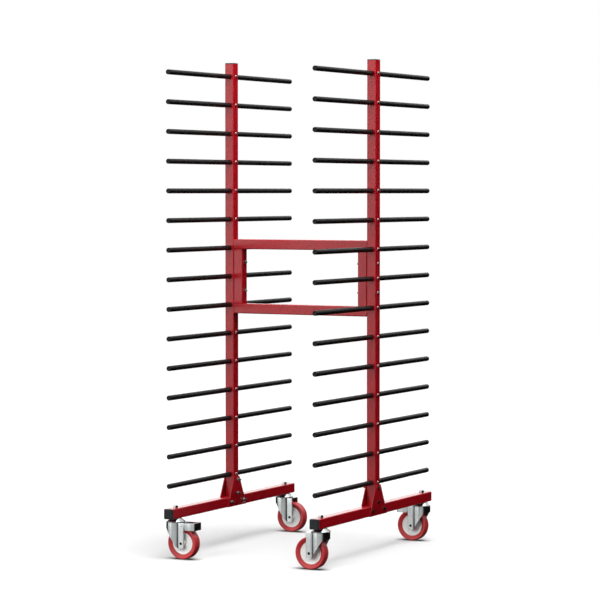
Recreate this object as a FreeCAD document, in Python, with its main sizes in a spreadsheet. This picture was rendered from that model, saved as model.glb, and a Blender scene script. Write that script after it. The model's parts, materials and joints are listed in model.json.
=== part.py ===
import FreeCAD, Part
import Sketcher
import math
import os
import re

# Drying rack trolley: two square-tube posts with sleeved rods, on a base with four swivel casters.
# Millimetres, +Z up. The origin is on the floor, midway between the posts and midway along the rods.
# The front is towards -Y, the left is towards -X.

doc = FreeCAD.newDocument("drying_rack_trolley")

# Driving dimensions
SIZES = {
    # Square tube of posts, beams and cross frame
    "tube_width": 40,
    "tube_wall": 3,
    "tube_corner": 4,
    "post_spacing": 640,
    "post_length": 1750,
    "beam_length": 1000,
    # Plastic caps
    "cap_plug_depth": 20,
    "cap_fit": 0.1,
    "beam_cap_flange": 6,
    "post_cap_flange": 4,
    # Rods and sleeves
    "lower_rods": 6,
    "frame_rods": 3,
    "rod_pitch": 115,
    "first_rod_rise": 88.5,
    "top_rod_margin": 40,
    "rod_diameter": 16,
    "rod_wall": 2,
    "rod_length": 1000,
    "rod_fit": 0.1,
    "sleeve_wall": 2,
    "sleeve_end": 2,
    "sleeve_round": 2.5,
    # Cross frame
    "frame_height": 300,
    "frame_bolt_spacing": 115,
    # Gusset plates
    "gusset_thickness": 4,
    "gusset_top_width": 40,
    "gusset_bottom_width": 155,
    "gusset_rise": 79.5,
    "gusset_top_bolt": 66.5,
    "gusset_middle_bolt": 11.5,
    "gusset_low_spread": 100,
    # Screws of rods and cross frame
    "screw_diameter": 8,
    "screw_head_diameter": 14,
    "screw_head_height": 4.4,
    "screw_nut_width": 13,
    "screw_nut_height": 6.5,
    "screw_thread_end": 4,
    "screw_tip_gap": 0.05,
    # Gusset bolts
    "bolt_diameter": 8,
    "bolt_head_width": 13,
    "bolt_head_height": 5.3,
    "bolt_nut_height": 6.5,
    "bolt_thread_end": 11,
    # Caster bolts
    "caster_bolt_diameter": 12,
    "caster_bolt_head_width": 18,
    "caster_bolt_head_height": 7,
    "caster_flange_diameter": 30,
    "caster_flange_thickness": 2.5,
    "caster_nut_width": 19,
    "caster_nut_height": 10,
    "caster_thread_end": 0.5,
    # Clearances of bolts in holes and in threads
    "hole_clearance": 0.2,
    "thread_clearance": 0.05,
    # Casters
    "caster_height": 158.5,
    "caster_inset": 50,
    "trail": 38,
    "wheel_diameter": 125,
    "tread_width": 38,
    "tread_round": 3.5,
    "tyre_side_diameter": 112,
    "hub_diameter": 87,
    "hub_rim_width": 21,
    "hub_web_width": 17,
    "hub_rim_wall": 4,
    "hub_boss_diameter": 28,
    "hub_length": 44,
    "bond_gap": 0.02,
    "axle_diameter": 12,
    "axle_bore": 8,
    "axle_fit": 0.04,
    "axle_clearance": 0.08,
    # Caster forks
    "fork_inner_width": 45,
    "fork_plate": 3,
    "fork_rise": 81.5,
    "bell_radius": 36.5,
    "bell_front_depth": 26,
    "bell_front_reach": 24,
    "leg_back": 13.5,
    "leg_drop": 19.5,
    "leg_round": 8,
    # Swivel bearings
    "head_top_diameter": 45,
    "head_bottom_diameter": 76.6,
    "head_lip": 1.5,
    "head_gap": 1.3,
    "race_diameter": 66,
    "kingpin_diameter": 24,
    "swivel_clearance": 0.1,
    "ring_diameter": 46,
    "ring_thickness": 4,
    "ring_gap": 0.3,
    "balls_per_head": 18,
    "ball_diameter": 4,
    "ball_circle": 58,
    "ball_clearance": 0.05,
    # Wheel brakes
    "brake_pin_diameter": 8,
    "brake_pin_back": 4,
    "brake_pin_drop": 12,
    "brake_eye_radius": 6,
    "lever_side_gap": 0.5,
    "lever_plate": 2.5,
    "lever_height": 29.5,
    "lever_length": 46.5,
    "lever_gap": 1,
    "lever_cutback": 3,
    "shoe_length": 29,
    "shoe_height": 18.5,
    "shoe_cover": 1.5,
}

# Places worked out from the driving dimensions
PLACES = {
    "half_tube": "tube_width / 2",
    "half_spacing": "post_spacing / 2",
    "beam_top": "caster_height + tube_width",
    "beam_middle": "caster_height + tube_width / 2",
    "post_top": "caster_height + tube_width + post_length",
    "rod_count": "floor((post_length - first_rod_rise - top_rod_margin) / rod_pitch) + 1",
    "upper_rods": "rod_count - lower_rods - frame_rods",
    "first_rod": "caster_height + tube_width + first_rod_rise",
    "frame_middle": "first_rod + rod_pitch * (lower_rods + (frame_rods - 1) / 2)",
    "frame_inside": "post_spacing - tube_width",
    "rail_offset": "(frame_height - tube_width) / 2",
    "upright_offset": "(post_spacing - tube_width) / 2 - tube_width / 2",
    "sleeve_tip": "rod_length / 2 + sleeve_end",
    "screw_head_sphere": "screw_head_height / 2 + screw_head_diameter ^ 2 / (8 * screw_head_height)",
    "gusset_grip": "tube_width + 2 * gusset_thickness",
    "caster_reach": "beam_length / 2 - caster_inset",
    "wheel_radius": "wheel_diameter / 2",
    "fork_top": "wheel_radius + fork_rise",
    "fork_half": "fork_inner_width / 2 + fork_plate",
    "leg_bottom": "wheel_radius - leg_drop",
    "leg_back_edge": "trail + leg_back",
    "crease": "sqrt(bell_radius ^ 2 - fork_half ^ 2)",
    "head_bottom": "fork_top + head_gap",
    "ball_height": "fork_top + ball_clearance + ball_diameter / 2",
    "race_top": "fork_top + ball_diameter + 2 * ball_clearance",
    "ring_top": "fork_top - fork_plate - ring_gap",
    "ring_bottom": "ring_top - ring_thickness",
    "brake_pin_place": "trail + brake_pin_back",
    "brake_pin_height": "fork_top - brake_pin_drop",
    "lever_front": "leg_back_edge + lever_gap",
    "lever_end": "lever_front + lever_length",
    "lever_half": "fork_inner_width / 2 - lever_side_gap",
    "lever_bottom": "fork_top - lever_height",
}

WORDS = re.compile(r"\b(" + "|".join(list(SIZES) + list(PLACES)) + r")\b")


def linked(formula):
    """The formula with every size and place read from its sheet."""
    return WORDS.sub(lambda word: ("Sizes." if word[0] in SIZES else "Places.") + word[0], formula)


sizes = doc.addObject("Spreadsheet::Sheet", "Sizes")
for row, (alias, number) in enumerate(SIZES.items(), start=1):
    sizes.set(f"A{row}", alias)
    sizes.set(f"B{row}", str(number))
    sizes.setAlias(f"B{row}", alias)
doc.recompute()

places = doc.addObject("Spreadsheet::Sheet", "Places")
for row, alias in enumerate(PLACES, start=1):
    places.set(f"A{row}", alias)
    places.setAlias(f"B{row}", alias)
for row, formula in enumerate(PLACES.values(), start=1):
    places.set(f"B{row}", "=" + linked(formula).replace("Places.", ""))
doc.recompute()

NODES = []
ALONG_X = FreeCAD.Rotation(FreeCAD.Vector(0, 1, 0), 90)
AGAINST_X = FreeCAD.Rotation(FreeCAD.Vector(0, 1, 0), -90)
ALONG_Y = FreeCAD.Rotation(FreeCAD.Vector(1, 0, 0), -90)
AGAINST_Y = FreeCAD.Rotation(FreeCAD.Vector(1, 0, 0), 90)
ALONG_Z = FreeCAD.Rotation()
HALF_TURN = FreeCAD.Rotation(FreeCAD.Vector(0, 0, 1), 180)
# Sketch points start on a circle of this radius, until their constraints move them
SKETCH_START_RADIUS = 10
# Coordinates closer than this are equal
SAME_PLACE = 0.001


# Helpers
def bind(item, prop, formula):
    item.setExpression(prop, linked(formula))


def put(item, position, rotation=ALONG_Z):
    """Turn a piece and tie its position to the sheets."""
    item.Placement = FreeCAD.Placement(FreeCAD.Vector(), rotation)
    for axis, formula in zip("xyz", position):
        bind(item, f"Placement.Base.{axis}", formula)


def named(item, name):
    """Make a piece a sub-part of the trolley."""
    item.Label = name
    NODES.append(item)
    return item


def new_body(name):
    return doc.addObject("PartDesign::Body", name)


def origin_part(body, role):
    return next(part for part in body.Origin.OriginFeatures if part.Role == role)


def new_sketch(body, plane):
    sketch = body.newObject("Sketcher::SketchObject", body.Name + "_sketch")
    sketch.AttachmentSupport = [(origin_part(body, plane), "")]
    sketch.MapMode = "FlatFace"
    return sketch


def tie_point(sketch, geometry, point, start, formulas):
    """Tie a point of a sketch to the origin by its two coordinates."""
    for kind, number, formula in zip(("DistanceX", "DistanceY"), start, formulas):
        index = sketch.addConstraint(Sketcher.Constraint(kind, -1, 1, geometry, point, number))
        bind(sketch, f"Constraints[{index}]", formula)


def outline(body, plane, points):
    """A closed sketch of straight lines through points given as formulas."""
    sketch = new_sketch(body, plane)
    count = len(points)
    start = []
    for number in range(count):
        angle = 2 * math.pi * number / count
        start.append((SKETCH_START_RADIUS * math.cos(angle), SKETCH_START_RADIUS * math.sin(angle)))
    for number in range(count):
        here = FreeCAD.Vector(*start[number], 0)
        there = FreeCAD.Vector(*start[(number + 1) % count], 0)
        sketch.addGeometry(Part.LineSegment(here, there), False)
    for number in range(count):
        sketch.addConstraint(Sketcher.Constraint("Coincident", number, 2, (number + 1) % count, 1))
    for number, formulas in enumerate(points):
        tie_point(sketch, number, 1, start[number], formulas)
    return sketch


def circles(body, plane, centres, diameter):
    """A sketch of equal circles about centres given as formulas."""
    sketch = new_sketch(body, plane)
    for number, formulas in enumerate(centres):
        start = (SKETCH_START_RADIUS * number, 0)
        sketch.addGeometry(Part.Circle(FreeCAD.Vector(*start, 0), FreeCAD.Vector(0, 0, 1), 1), False)
        index = sketch.addConstraint(Sketcher.Constraint("Diameter", number, 2))
        bind(sketch, f"Constraints[{index}]", diameter)
        tie_point(sketch, number, 3, start, formulas)
    return sketch


def pad(body, sketch, length, symmetric=False):
    feature = body.newObject("PartDesign::Pad", body.Name + "_pad")
    feature.Profile = sketch
    bind(feature, "Length", length)
    feature.SideType = "Symmetric" if symmetric else "One side"
    doc.recompute()
    return feature


def pocket(body, sketch, side="both"):
    """Cut a sketch right through a body, both ways or only along or against the sketch's normal."""
    before = body.Shape.Volume
    feature = body.newObject("PartDesign::Pocket", body.Name + "_pocket")
    feature.Profile = sketch
    feature.Type = "ThroughAll"
    feature.SideType = "Symmetric" if side == "both" else "One side"
    feature.Reversed = side == "along"
    doc.recompute()
    if body.Shape.Volume >= before:
        raise RuntimeError(f"{feature.Name} cuts nothing")
    return feature


def revolve(body, sketch, axis):
    feature = body.newObject("PartDesign::Revolution", body.Name + "_turned")
    feature.Profile = sketch
    feature.ReferenceAxis = (origin_part(body, axis), [""])
    feature.Angle = 360
    doc.recompute()
    return feature


def row_along_z(body, features, step, count):
    """Repeat features upwards."""
    pattern = body.newObject("PartDesign::LinearPattern", body.Name + "_row")
    pattern.Originals = features
    pattern.Direction = (origin_part(body, "Z_Axis"), [""])
    bind(pattern, "Length", f"{step} * ({count} - 1)")
    bind(pattern, "Occurrences", count)
    body.Tip = pattern
    doc.recompute()


def round_edges(body, wanted, radius):
    """Round the edges of a body that pass a test."""
    base = body.Tip
    edges = [f"Edge{number}" for number, edge in enumerate(base.Shape.Edges, start=1) if wanted(edge)]
    feature = body.newObject("PartDesign::Fillet", body.Name + "_rounding")
    feature.Base = (base, edges)
    bind(feature, "Radius", radius)
    doc.recompute()
    return feature


def upright_edge(edge):
    ends = edge.Vertexes
    flat = abs(ends[0].X - ends[-1].X) + abs(ends[0].Y - ends[-1].Y)
    return len(ends) == 2 and flat < SAME_PLACE and abs(ends[0].Z - ends[-1].Z) > SAME_PLACE


def square(side):
    half = f"({side}) / 2"
    return [(f"-{half}", f"-{half}"), (half, f"-{half}"), (half, half), (f"-{half}", half)]


def solid(kind, name, **formulas):
    """A primitive solid with its sizes tied to the sheets."""
    item = doc.addObject("Part::" + kind, name)
    for prop, formula in formulas.items():
        bind(item, prop, formula)
    return item


def cylinder(name, radius, height, position=("0", "0", "0"), rotation=ALONG_Z):
    item = solid("Cylinder", name, Radius=radius, Height=height)
    put(item, position, rotation)
    return item


def block(name, low, high):
    """A box between two corners given as formulas."""
    spans = [f"({top}) - ({bottom})" for bottom, top in zip(low, high)]
    item = solid("Box", name, Length=spans[0], Width=spans[1], Height=spans[2])
    put(item, low)
    return item


def fuse(name, items):
    item = doc.addObject("Part::MultiFuse", name)
    item.Shapes = items
    item.Refine = True
    return item


def cut(name, base, tools):
    item = doc.addObject("Part::Cut", name)
    item.Base = base
    item.Tool = tools[0] if len(tools) == 1 else fuse(name + "_tools", tools)
    item.Refine = True
    return item


def copies(name, master, stations):
    """A node of one or more copies of a piece, each at a position and turn of its own."""
    links = []
    for number, (position, rotation) in enumerate(stations, start=1):
        link = doc.addObject("App::Link", f"{name}_{number}")
        link.LinkedObject = master
        link.LinkTransform = True
        put(link, position, rotation)
        links.append(link)
    group = doc.addObject("Part::Compound", name)
    group.Links = links
    return named(group, name)


# Square tube
def tube(name, length, symmetric):
    """A square tube with round outer corners along its own Z axis."""
    body = new_body(name)
    pad(body, outline(body, "XY_Plane", square("tube_width")), length, symmetric)
    round_edges(body, upright_edge, "tube_corner")
    pocket(body, outline(body, "XY_Plane", square("tube_width - 2 * tube_wall")))
    return body


SCREW_HOLE = "screw_diameter + 2 * thread_clearance"
FRAME_SCREW_HOLE = "screw_diameter + 2 * hole_clearance"
BOLT_HOLE = "bolt_diameter + 2 * hole_clearance"
CASTER_BOLT_HOLE = "caster_bolt_diameter + 2 * hole_clearance"
FRAME_BOLT_HEIGHTS = [f"frame_middle + {side} * frame_bolt_spacing / 2" for side in (-1, 1)]


def post(name, x, screw_rows):
    """A post with its rod holes, clamp screw holes, frame bolt holes and gusset bolt holes."""
    body = tube(name, "post_length", False)
    rod_hole = circles(body, "XZ_Plane", [("0", "first_rod_rise")], "rod_diameter + 2 * rod_fit")
    row_along_z(body, [pocket(body, rod_hole)], "rod_pitch", "rod_count")
    for side, first, count in screw_rows:
        height = f"first_rod_rise + rod_pitch * ({first})"
        hole = pocket(body, circles(body, "YZ_Plane", [("0", height)], SCREW_HOLE), side)
        row_along_z(body, [hole], "rod_pitch", count)
    frame_holes = [("0", f"{height} - beam_top") for height in FRAME_BOLT_HEIGHTS]
    pocket(body, circles(body, "YZ_Plane", frame_holes, FRAME_SCREW_HOLE))
    gusset_holes = [("0", "gusset_top_bolt"), ("0", "gusset_middle_bolt")]
    pocket(body, circles(body, "YZ_Plane", gusset_holes, BOLT_HOLE))
    put(body, (x, "0", "beam_top"))
    return named(body, name)


# The clamp screws enter from the right, except where the cross frame covers the left post's right face
LEFT_SCREW_ROWS = [
    ("along", "0", "lower_rods"),
    ("against", "lower_rods", "frame_rods"),
    ("along", "lower_rods + frame_rods", "upper_rods"),
]
RIGHT_SCREW_ROWS = [("along", "0", "rod_count")]

post("left_post", "-half_spacing", LEFT_SCREW_ROWS)
post("right_post", "half_spacing", RIGHT_SCREW_ROWS)


# Base beams
def base_beam(name, x):
    """A beam along Y with two upright caster bolt holes and two gusset bolt holes across it."""
    body = tube(name, "beam_length", True)
    caster_holes = [("0", "-caster_reach"), ("0", "caster_reach")]
    pocket(body, circles(body, "XZ_Plane", caster_holes, CASTER_BOLT_HOLE))
    gusset_holes = [("0", "-gusset_low_spread / 2"), ("0", "gusset_low_spread / 2")]
    pocket(body, circles(body, "YZ_Plane", gusset_holes, BOLT_HOLE))
    put(body, (x, "0", "beam_middle"), ALONG_Y)
    return named(body, name)


base_beam("left_base_beam", "-half_spacing")
base_beam("right_base_beam", "half_spacing")


# Cross frame
for name, side in (("upper_rail", "1"), ("lower_rail", "-1")):
    rail = tube(name, "frame_inside", True)
    put(rail, ("0", "0", f"frame_middle + {side} * rail_offset"), ALONG_X)
    named(rail, name)

for name, side in (("left_upright", "-1"), ("right_upright", "1")):
    upright = tube(name, "frame_height - 2 * tube_width", True)
    bolt_holes = [("0", f"{height} - frame_middle") for height in FRAME_BOLT_HEIGHTS]
    pocket(upright, circles(upright, "YZ_Plane", bolt_holes, FRAME_SCREW_HOLE))
    put(upright, (f"{side} * upright_offset", "0", "frame_middle"))
    named(upright, name)


# Plastic caps
def tube_cap(name, flange, position, rotation):
    """A cap whose flange covers the tube end and whose plug sits inside the tube, below the flange."""
    body = new_body(name)
    pad(body, outline(body, "XY_Plane", square("tube_width")), flange)
    round_edges(body, upright_edge, "tube_corner")
    plug_outline = outline(body, "XY_Plane", square("tube_width - 2 * tube_wall - 2 * cap_fit"))
    pad(body, plug_outline, "cap_plug_depth").Reversed = True
    put(body, position, rotation)
    return named(body, name)


for side, x in (("left", "-half_spacing"), ("right", "half_spacing")):
    front_end = (x, "-beam_length / 2", "beam_middle")
    rear_end = (x, "beam_length / 2", "beam_middle")
    tube_cap(f"{side}_post_cap", "post_cap_flange", (x, "0", "post_top"), ALONG_Z)
    tube_cap(f"{side}_front_beam_cap", "beam_cap_flange", front_end, AGAINST_Y)
    tube_cap(f"{side}_rear_beam_cap", "beam_cap_flange", rear_end, ALONG_Y)


# Gusset plates
def gusset(name, x):
    """A trapezoid plate beside a post foot, with two holes on its middle line and two below."""
    body = new_body(name)
    corners = [
        ("-gusset_bottom_width / 2", "-tube_width"),
        ("gusset_bottom_width / 2", "-tube_width"),
        ("gusset_top_width / 2", "gusset_rise"),
        ("-gusset_top_width / 2", "gusset_rise"),
    ]
    holes = [
        ("0", "gusset_top_bolt"),
        ("0", "gusset_middle_bolt"),
        ("-gusset_low_spread / 2", "-half_tube"),
        ("gusset_low_spread / 2", "-half_tube"),
    ]
    pad(body, outline(body, "YZ_Plane", corners), "gusset_thickness")
    pocket(body, circles(body, "YZ_Plane", holes, BOLT_HOLE))
    put(body, (x, "0", "beam_top"))
    return named(body, name)


gusset("left_outer_gusset", "-half_spacing - half_tube - gusset_thickness")
gusset("left_inner_gusset", "-half_spacing + half_tube")
gusset("right_inner_gusset", "half_spacing - half_tube - gusset_thickness")
gusset("right_outer_gusset", "half_spacing + half_tube")


# Rods and sleeves
def rod_row(name, x):
    """The tube cores of one post, each centred in the post."""
    body = new_body(name)
    middle = [("0", "0")]
    core = pad(body, circles(body, "XZ_Plane", middle, "rod_diameter"), "rod_length", True)
    bore = pocket(body, circles(body, "XZ_Plane", middle, "rod_diameter - 2 * rod_wall"))
    row_along_z(body, [core, bore], "rod_pitch", "rod_count")
    put(body, (x, "0", "first_rod"))
    return named(body, name)


def sleeve_row(name, x, rotation):
    """Sleeves that start at the post and close over the rods' free ends."""
    body = new_body(name)
    bore = "rod_diameter / 2 + rod_fit"
    outside = "rod_diameter / 2 + sleeve_wall"
    profile = [
        (bore, "half_tube"),
        (outside, "half_tube"),
        (outside, "sleeve_tip"),
        ("0", "sleeve_tip"),
        ("0", "rod_length / 2"),
        (bore, "rod_length / 2"),
    ]
    sleeve = revolve(body, outline(body, "XY_Plane", profile), "Y_Axis")
    tip = sleeve.Shape.BoundBox.YMax

    def at_tip(edge):
        return abs(edge.BoundBox.YMin - tip) < SAME_PLACE

    rounding = round_edges(body, at_tip, "sleeve_round")
    row_along_z(body, [sleeve, rounding], "rod_pitch", "rod_count")
    put(body, (x, "0", "first_rod"), rotation)
    return named(body, name)


for side, x in (("left", "-half_spacing"), ("right", "half_spacing")):
    rod_row(f"{side}_rods", x)
    sleeve_row(f"{side}_front_sleeves", x, HALF_TURN)
    sleeve_row(f"{side}_rear_sleeves", x, ALONG_Z)


# Fasteners, each along its own Z axis with the seat of its head or nut at the origin
def hexagon(name, width, height, position):
    item = solid("Prism", name, Circumradius=f"{width} / sqrt(3)", Height=height)
    put(item, position)
    return item


def hex_bolt(name, length):
    """A gusset bolt with a hexagon head."""
    head_place = ("0", "0", "-bolt_head_height")
    head = hexagon(name + "_head", "bolt_head_width", "bolt_head_height", head_place)
    shank = cylinder(name + "_shank", "bolt_diameter / 2", length)
    return fuse(name, [head, shank])


def button_screw(name, length):
    """A screw with a domed head, which is the end of a sphere."""
    sphere = "screw_head_sphere"
    dome = solid("Sphere", name + "_dome", Radius=sphere)
    put(dome, ("0", "0", f"{sphere} - screw_head_height"))
    behind_seat = block(
        name + "_behind_seat",
        (f"-{sphere}", f"-{sphere}", "0"),
        (sphere, sphere, f"2 * {sphere}"),
    )
    head = cut(name + "_head", dome, [behind_seat])
    shank = cylinder(name + "_shank", "screw_diameter / 2", length)
    return fuse(name, [head, shank])


def hex_nut(name, diameter, width, height):
    body = hexagon(name + "_body", width, height, ("0", "0", "0"))
    thread = cylinder(name + "_thread", f"{diameter} / 2 + thread_clearance", height)
    return cut(name, body, [thread])


clamp_length = "half_tube - rod_diameter / 2 - screw_tip_gap"
frame_bolt_length = "2 * tube_width + screw_nut_height + screw_thread_end"
gusset_bolt_length = "gusset_grip + bolt_nut_height + bolt_thread_end"

clamp_screw = button_screw("clamp_screw", clamp_length)
frame_bolt = button_screw("frame_bolt", frame_bolt_length)
frame_nut = hex_nut("frame_nut", "screw_diameter", "screw_nut_width", "screw_nut_height")
gusset_bolt = hex_bolt("gusset_bolt", gusset_bolt_length)
gusset_nut = hex_nut("gusset_nut", "bolt_diameter", "bolt_head_width", "bolt_nut_height")

ALL_LEVELS = range(round(places.get("rod_count")))
COVERED_LEVELS = range(SIZES["lower_rods"], SIZES["lower_rods"] + SIZES["frame_rods"])
screw_stations = []
for level in ALL_LEVELS:
    height = f"first_rod + {level} * rod_pitch"
    screw_stations.append((("half_spacing + half_tube", "0", height), AGAINST_X))
    if level in COVERED_LEVELS:
        screw_stations.append((("-half_spacing - half_tube", "0", height), ALONG_X))
    else:
        screw_stations.append((("-half_spacing + half_tube", "0", height), AGAINST_X))
copies("rod_clamp_screws", clamp_screw, screw_stations)

# Bolts of the posts have their heads on the outer side and their nuts on the inner side
OUTER_SIDES = ((-1, ALONG_X), (1, AGAINST_X))
frame_bolt_stations = []
frame_nut_stations = []
for side, inwards in OUTER_SIDES:
    for height in FRAME_BOLT_HEIGHTS:
        frame_bolt_stations.append(((f"{side} * (half_spacing + half_tube)", "0", height), inwards))
        frame_nut_stations.append(((f"{side} * (upright_offset - half_tube)", "0", height), inwards))
copies("frame_bolts", frame_bolt, frame_bolt_stations)
copies("frame_nuts", frame_nut, frame_nut_stations)

GUSSET_BOLT_PLACES = [
    ("0", "beam_top + gusset_top_bolt"),
    ("0", "beam_top + gusset_middle_bolt"),
    ("-gusset_low_spread / 2", "beam_middle"),
    ("gusset_low_spread / 2", "beam_middle"),
]
gusset_bolt_stations = []
gusset_nut_stations = []
for side, inwards in OUTER_SIDES:
    for y, height in GUSSET_BOLT_PLACES:
        head_seat = f"{side} * (half_spacing + gusset_grip / 2)"
        nut_seat = f"{side} * (half_spacing - gusset_grip / 2)"
        gusset_bolt_stations.append(((head_seat, y, height), inwards))
        gusset_nut_stations.append(((nut_seat, y, height), inwards))
copies("gusset_bolts", gusset_bolt, gusset_bolt_stations)
copies("gusset_nuts", gusset_nut, gusset_nut_stations)


# Caster pieces, modelled with the swivel axis on Z, the floor at zero and the wheel trailing towards +X
def swivel_head_master():
    """A cone that covers the balls, with the kingpin that the fork turns on."""
    body = new_body("swivel_head")
    bore = "caster_bolt_diameter / 2 + hole_clearance"
    profile = [
        (bore, "ring_bottom"),
        ("kingpin_diameter / 2", "ring_bottom"),
        ("kingpin_diameter / 2", "race_top"),
        ("race_diameter / 2", "race_top"),
        ("race_diameter / 2", "head_bottom"),
        ("head_bottom_diameter / 2", "head_bottom"),
        ("head_bottom_diameter / 2", "head_bottom + head_lip"),
        ("head_top_diameter / 2", "caster_height"),
        (bore, "caster_height"),
    ]
    revolve(body, outline(body, "XZ_Plane", profile), "Z_Axis")
    return body


def retaining_ring_master():
    """A ring under the fork's crown, held up by the flange of the caster bolt."""
    seat = ("0", "0", "ring_bottom")
    disc = cylinder("ring_disc", "ring_diameter / 2", "ring_thickness", seat)
    hole = cylinder("ring_hole", "kingpin_diameter / 2 + thread_clearance", "ring_thickness", seat)
    return cut("retaining_ring", disc, [hole])


def caster_bolt_master():
    """A flanged bolt through the kingpin and the beam, with its head under the fork's crown."""
    length = "beam_top + caster_nut_height + caster_thread_end - ring_bottom"
    shank = cylinder("caster_shank", "caster_bolt_diameter / 2", length)
    thickness = "caster_flange_thickness"
    flange_place = ("0", "0", f"-{thickness}")
    flange = cylinder("caster_flange", "caster_flange_diameter / 2", thickness, flange_place)
    head_place = ("0", "0", f"-{thickness} - caster_bolt_head_height")
    head = hexagon("caster_head", "caster_bolt_head_width", "caster_bolt_head_height", head_place)
    return fuse("caster_bolt", [shank, flange, head])


def keyhole(name, radius, half_width, back, low, top):
    """A round bell with a straight box towards the back, between two heights."""
    height = f"({top}) - ({low})"
    bell = cylinder(name + "_bell", radius, height, ("0", "0", low))
    legs = block(name + "_legs", ("0", f"-({half_width})", low), (back, half_width, top))
    return fuse(name, [bell, legs])


def fork_master(name, with_brake):
    """A deep-drawn fork: crown, round front wall cut off on a slant, and two flat legs."""
    spare = "leg_drop"
    outside = keyhole(
        name + "_outside",
        "bell_radius",
        "fork_half",
        "leg_back_edge",
        "leg_bottom",
        "fork_top",
    )
    inside = keyhole(
        name + "_inside",
        "bell_radius - fork_plate",
        "fork_inner_width / 2",
        f"leg_back_edge + {spare}",
        f"leg_bottom - {spare}",
        "fork_top - fork_plate",
    )
    slant = new_body(name + "_slant")
    slant_corners = [
        (f"-bell_radius - {spare}", f"leg_bottom - {spare}"),
        ("crease", f"leg_bottom - {spare}"),
        ("crease", "leg_bottom"),
        ("-bell_front_reach", "fork_top - bell_front_depth"),
        (f"-bell_radius - {spare}", "fork_top - bell_front_depth"),
    ]
    pad(slant, outline(slant, "XZ_Plane", slant_corners), f"2 * bell_radius + {spare}", True)
    kingpin_radius = "kingpin_diameter / 2 + swivel_clearance"
    kingpin_hole = cylinder(name + "_kingpin_hole", kingpin_radius, "fork_top")
    axle_place = ("trail", "-fork_half", "wheel_radius")
    axle_radius = "axle_diameter / 2 + axle_fit"
    axle_hole = cylinder(name + "_axle_hole", axle_radius, "2 * fork_half", axle_place, ALONG_Y)
    corner_start = "leg_back_edge - leg_round"
    corner_top = "leg_bottom + leg_round"
    corner_block = block(
        name + "_corner_block",
        (corner_start, "-fork_half", "leg_bottom"),
        ("leg_back_edge", "fork_half", corner_top),
    )
    corner_place = (corner_start, "-fork_half", corner_top)
    corner_arc = cylinder(name + "_corner_arc", "leg_round", "2 * fork_half", corner_place, ALONG_Y)
    corner = cut(name + "_corner", corner_block, [corner_arc])
    tools = [inside, slant, corner, kingpin_hole, axle_hole]
    if with_brake:
        pin_place = ("brake_pin_place", "-fork_half", "brake_pin_height")
        pin_radius = "brake_pin_diameter / 2 + axle_fit"
        tools.append(cylinder(name + "_pin_hole", pin_radius, "2 * fork_half", pin_place, ALONG_Y))
    return cut(name, outside, tools)


def axle_master():
    """A hollow axle, flush with the outer faces of the fork's legs."""
    start = ("trail", "-fork_half", "wheel_radius")
    outside = cylinder("axle_outside", "axle_diameter / 2", "2 * fork_half", start, ALONG_Y)
    bore = cylinder("axle_bore_tool", "axle_bore / 2", "2 * fork_half", start, ALONG_Y)
    return cut("axle", outside, [bore])


def across(half_profile):
    """A whole outline from its half on the positive side of the wheel's middle plane."""
    other_half = [(radius, f"-({place})") for radius, place in reversed(half_profile)]
    return half_profile + other_half


def hub_master():
    """A hub with a long boss, a thin web and a rim."""
    body = new_body("hub")
    profile = across([
        ("axle_diameter / 2 + axle_clearance", "hub_length / 2"),
        ("hub_boss_diameter / 2", "hub_length / 2"),
        ("hub_boss_diameter / 2", "hub_web_width / 2"),
        ("hub_diameter / 2 - hub_rim_wall", "hub_web_width / 2"),
        ("hub_diameter / 2 - hub_rim_wall", "hub_rim_width / 2"),
        ("hub_diameter / 2", "hub_rim_width / 2"),
    ])
    revolve(body, outline(body, "XY_Plane", profile), "Y_Axis")
    return body


def tyre_master():
    """A tyre bonded to the hub's rim, with sides that widen outwards and rounded shoulders."""
    body = new_body("tyre")
    profile = across([
        ("hub_diameter / 2 + bond_gap", "hub_rim_width / 2"),
        ("tyre_side_diameter / 2", "tread_width / 2"),
        ("wheel_radius", "tread_width / 2"),
    ])
    revolve(body, outline(body, "XY_Plane", profile), "Y_Axis")
    outer = body.Tip.Shape.BoundBox.XMax

    def at_shoulder(edge):
        return edge.Closed and abs(edge.BoundBox.XMax - outer) < SAME_PLACE

    round_edges(body, at_shoulder, "tread_round")
    return body


def brake_pin_master():
    start = ("brake_pin_place", "-fork_half", "brake_pin_height")
    return cylinder("brake_pin", "brake_pin_diameter / 2", "2 * fork_half", start, ALONG_Y)


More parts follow.
